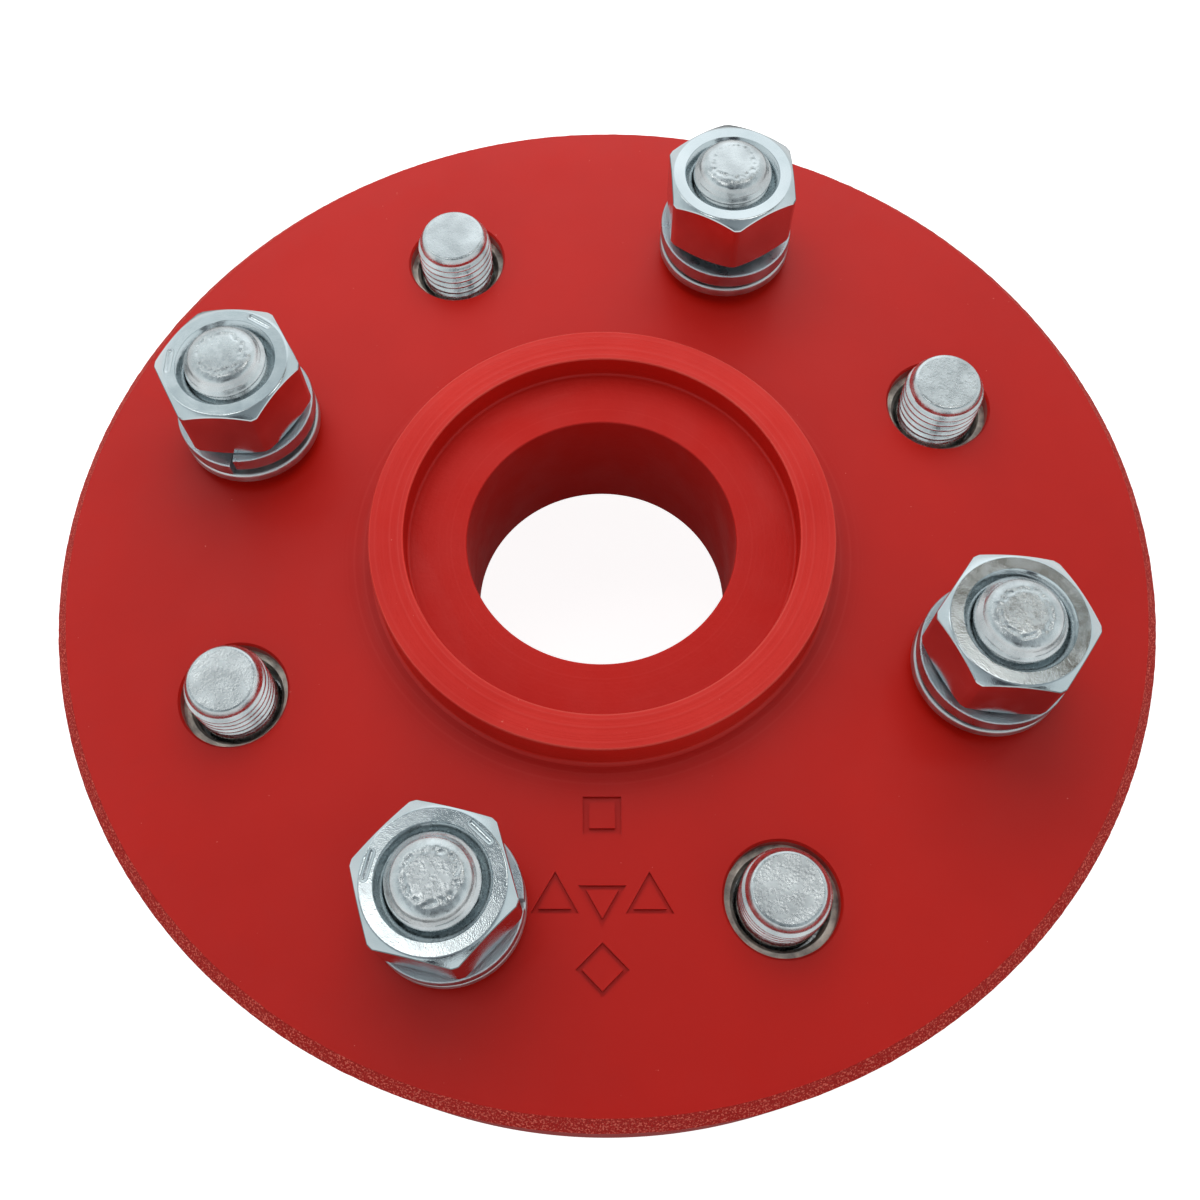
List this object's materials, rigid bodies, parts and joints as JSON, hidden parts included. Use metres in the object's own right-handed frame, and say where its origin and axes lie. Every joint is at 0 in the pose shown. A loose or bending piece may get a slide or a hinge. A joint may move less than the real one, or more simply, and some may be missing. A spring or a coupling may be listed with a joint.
{
  "type": "flexible coupling flange",
  "caption": "Round elastomer coupling flange with a pilot ring, a central bore and threaded studs with nuts and washers that alternate between the two faces.",
  "frame": {"origin": "on the disc's axis, in the plane of the front face", "axes": "+Z out of the front face, along the pilot ring; +X, +Y, -X and -Y pass through the four front studs"},
  "size_m": [0.1524, 0.1524, 0.064],
  "materials": {
    "red_polyurethane": "semi-gloss cast elastomer, turned faces",
    "insert_steel": "dull turned steel",
    "stud_zinc": "bright zinc plate",
    "flat_washer_zinc": "zinc plate",
    "lock_washer_zinc": "zinc plate, slightly rough",
    "nut_zinc": "bright blue-tinted zinc plate"
  },
  "bodies": {
    "root": {"flange_disc": "red_polyurethane", "front_insert_1": "insert_steel", "front_stud_1": "stud_zinc", "front_insert_2": "insert_steel", "front_stud_2": "stud_zinc", "front_insert_3": "insert_steel", "front_stud_3": "stud_zinc", "front_insert_4": "insert_steel", "front_stud_4": "stud_zinc", "rear_insert_1": "insert_steel", "rear_stud_1": "stud_zinc", "rear_insert_2": "insert_steel", "rear_stud_2": "stud_zinc", "rear_insert_3": "insert_steel", "rear_stud_3": "stud_zinc", "rear_insert_4": "insert_steel", "rear_stud_4": "stud_zinc"},
    "front_washers_1": {"front_flat_washer_1": "flat_washer_zinc", "front_lock_washer_1": "lock_washer_zinc"},
    "front_nut_1": {"front_nut_1": "nut_zinc"},
    "front_washers_2": {"front_flat_washer_2": "flat_washer_zinc", "front_lock_washer_2": "lock_washer_zinc"},
    "front_nut_2": {"front_nut_2": "nut_zinc"},
    "front_washers_3": {"front_flat_washer_3": "flat_washer_zinc", "front_lock_washer_3": "lock_washer_zinc"},
    "front_nut_3": {"front_nut_3": "nut_zinc"},
    "front_washers_4": {"front_flat_washer_4": "flat_washer_zinc", "front_lock_washer_4": "lock_washer_zinc"},
    "front_nut_4": {"front_nut_4": "nut_zinc"},
    "rear_washers_1": {"rear_flat_washer_1": "flat_washer_zinc", "rear_lock_washer_1": "lock_washer_zinc"},
    "rear_nut_1": {"rear_nut_1": "nut_zinc"},
    "rear_washers_2": {"rear_flat_washer_2": "flat_washer_zinc", "rear_lock_washer_2": "lock_washer_zinc"},
    "rear_nut_2": {"rear_nut_2": "nut_zinc"},
    "rear_washers_3": {"rear_flat_washer_3": "flat_washer_zinc", "rear_lock_washer_3": "lock_washer_zinc"},
    "rear_nut_3": {"rear_nut_3": "nut_zinc"},
    "rear_washers_4": {"rear_flat_washer_4": "flat_washer_zinc", "rear_lock_washer_4": "lock_washer_zinc"},
    "rear_nut_4": {"rear_nut_4": "nut_zinc"}
  },
  "joints": [
    {"name": "front_nut_1_travel", "type": "slide", "parent": "root", "child": "front_washers_1", "axis": [0, 0, 1], "range_m": [0, 0.01143]},
    {"name": "front_nut_1_turn", "type": "hinge", "parent": "front_washers_1", "child": "front_nut_1", "pos_m": [0.05398, 0, 0.0125], "axis": [0, 0, 1], "range_deg": [0, 3240]},
    {"name": "front_nut_2_travel", "type": "slide", "parent": "root", "child": "front_washers_2", "axis": [0, 0, 1], "range_m": [0, 0.01143]},
    {"name": "front_nut_2_turn", "type": "hinge", "parent": "front_washers_2", "child": "front_nut_2", "pos_m": [0, 0.05398, 0.0125], "axis": [0, 0, 1], "range_deg": [0, 3240]},
    {"name": "front_nut_3_travel", "type": "slide", "parent": "root", "child": "front_washers_3", "axis": [0, 0, 1], "range_m": [0, 0.01143]},
    {"name": "front_nut_3_turn", "type": "hinge", "parent": "front_washers_3", "child": "front_nut_3", "pos_m": [-0.05398, 0, 0.0125], "axis": [0, 0, 1], "range_deg": [0, 3240]},
    {"name": "front_nut_4_travel", "type": "slide", "parent": "root", "child": "front_washers_4", "axis": [0, 0, 1], "range_m": [0, 0.01143]},
    {"name": "front_nut_4_turn", "type": "hinge", "parent": "front_washers_4", "child": "front_nut_4", "pos_m": [0, -0.05398, 0.0125], "axis": [0, 0, 1], "range_deg": [0, 3240]},
    {"name": "rear_nut_1_travel", "type": "slide", "parent": "root", "child": "rear_washers_1", "axis": [0, 0, -1], "range_m": [0, 0.01143]},
    {"name": "rear_nut_1_turn", "type": "hinge", "parent": "rear_washers_1", "child": "rear_nut_1", "pos_m": [0.03817, 0.03817, -0.0379], "axis": [0, 0, -1], "range_deg": [0, 3240]},
    {"name": "rear_nut_2_travel", "type": "slide", "parent": "root", "child": "rear_washers_2", "axis": [0, 0, -1], "range_m": [0, 0.01143]},
    {"name": "rear_nut_2_turn", "type": "hinge", "parent": "rear_washers_2", "child": "rear_nut_2", "pos_m": [-0.03817, 0.03817, -0.0379], "axis": [0, 0, -1], "range_deg": [0, 3240]},
    {"name": "rear_nut_3_travel", "type": "slide", "parent": "root", "child": "rear_washers_3", "axis": [0, 0, -1], "range_m": [0, 0.01143]},
    {"name": "rear_nut_3_turn", "type": "hinge", "parent": "rear_washers_3", "child": "rear_nut_3", "pos_m": [-0.03817, -0.03817, -0.0379], "axis": [0, 0, -1], "range_deg": [0, 3240]},
    {"name": "rear_nut_4_travel", "type": "slide", "parent": "root", "child": "rear_washers_4", "axis": [0, 0, -1], "range_m": [0, 0.01143]},
    {"name": "rear_nut_4_turn", "type": "hinge", "parent": "rear_washers_4", "child": "rear_nut_4", "pos_m": [0.03817, -0.03817, -0.0379], "axis": [0, 0, -1], "range_deg": [0, 3240]}
  ],
  "couplings": [
    {"joint": "front_nut_1_travel", "follows": "front_nut_1_turn", "m_per_rad": 0.00020213},
    {"joint": "front_nut_2_travel", "follows": "front_nut_2_turn", "m_per_rad": 0.00020213},
    {"joint": "front_nut_3_travel", "follows": "front_nut_3_turn", "m_per_rad": 0.00020213},
    {"joint": "front_nut_4_travel", "follows": "front_nut_4_turn", "m_per_rad": 0.00020213},
    {"joint": "rear_nut_1_travel", "follows": "rear_nut_1_turn", "m_per_rad": 0.00020213},
    {"joint": "rear_nut_2_travel", "follows": "rear_nut_2_turn", "m_per_rad": 0.00020213},
    {"joint": "rear_nut_3_travel", "follows": "rear_nut_3_turn", "m_per_rad": 0.00020213},
    {"joint": "rear_nut_4_travel", "follows": "rear_nut_4_turn", "m_per_rad": 0.00020213}
  ]
}
